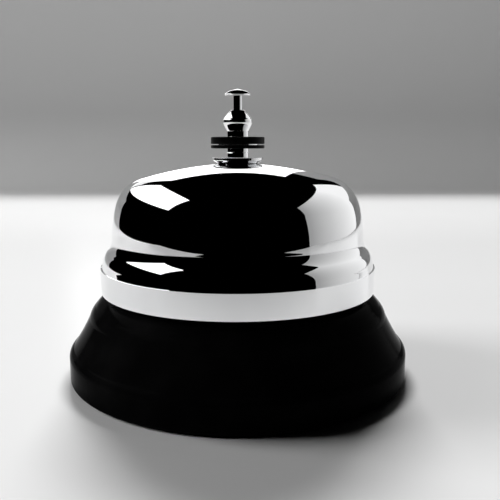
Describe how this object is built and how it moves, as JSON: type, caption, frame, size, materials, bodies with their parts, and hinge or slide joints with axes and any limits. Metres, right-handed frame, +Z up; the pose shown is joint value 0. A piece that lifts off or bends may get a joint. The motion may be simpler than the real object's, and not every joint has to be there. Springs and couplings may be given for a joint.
{
  "type": "service bell",
  "caption": "Counter service bell with a chromed gong on a flared black base, rung by a sprung plunger button that swings an inner striker.",
  "frame": {"origin": "centre of the pad's underside, on the counter", "axes": "+Z up along the plunger's axis; +X from the axis towards the hammer"},
  "size_m": [0.0852, 0.0852, 0.0707],
  "materials": {
    "chrome_plate": "polished mirror plate with fine polishing marks",
    "black_enamel": "glossy black stove enamel",
    "black_plastic": "satin black moulding",
    "bright_steel": "bright nickel-plated steel",
    "zinc_steel": "zinc-plated steel",
    "spring_steel": "oiled spring wire",
    "bronze": "turned bronze",
    "fibre": "red vulcanised fibre",
    "pad_rubber": "matte black rubber"
  },
  "bodies": {
    "bell": {"base_shell": "black_enamel", "bottom_plate": "zinc_steel", "base_pad": "pad_rubber", "plate_screws": "zinc_steel", "mechanism_bracket": "zinc_steel", "bracket_screws": "zinc_steel", "bracket_washers": "zinc_steel", "bracket_nuts": "zinc_steel", "center_post": "bright_steel", "post_lock_washer": "zinc_steel", "post_nut": "zinc_steel", "guide_bush": "bronze", "gong": "chrome_plate", "gong_seat_washer": "fibre", "dish_washer": "chrome_plate", "spacer_collar": "chrome_plate", "lock_disc": "black_plastic", "thumb_washer": "chrome_plate", "thumb_nut": "black_plastic", "guide_nut": "chrome_plate", "return_spring": "spring_steel", "pivot_pin": "bright_steel", "pivot_clip": "spring_steel", "striker_stop": "pad_rubber"},
    "plunger": {"plunger_rod": "bright_steel", "plunger_button": "chrome_plate", "plunger_ring": "zinc_steel"},
    "striker": {"striker_lever": "zinc_steel", "striker_hammer": "bronze", "hammer_rivet": "zinc_steel"}
  },
  "joints": [
    {"name": "plunger_press", "type": "slide", "parent": "bell", "child": "plunger", "axis": [0, 0, -1], "range_m": [0, 0.0032], "stiffness_N_per_m": 300, "springref_m": -0.004, "deforming": ["return_spring"]},
    {"name": "striker_swing", "type": "hinge", "parent": "bell", "child": "striker", "pos_m": [0.011, 0, 0.0239], "axis": [0, -1, 0], "range_deg": [0, 16.7]}
  ],
  "couplings": [
    {"joint": "striker_swing", "follows": "plunger_press", "rad_per_m": 90.909}
  ]
}
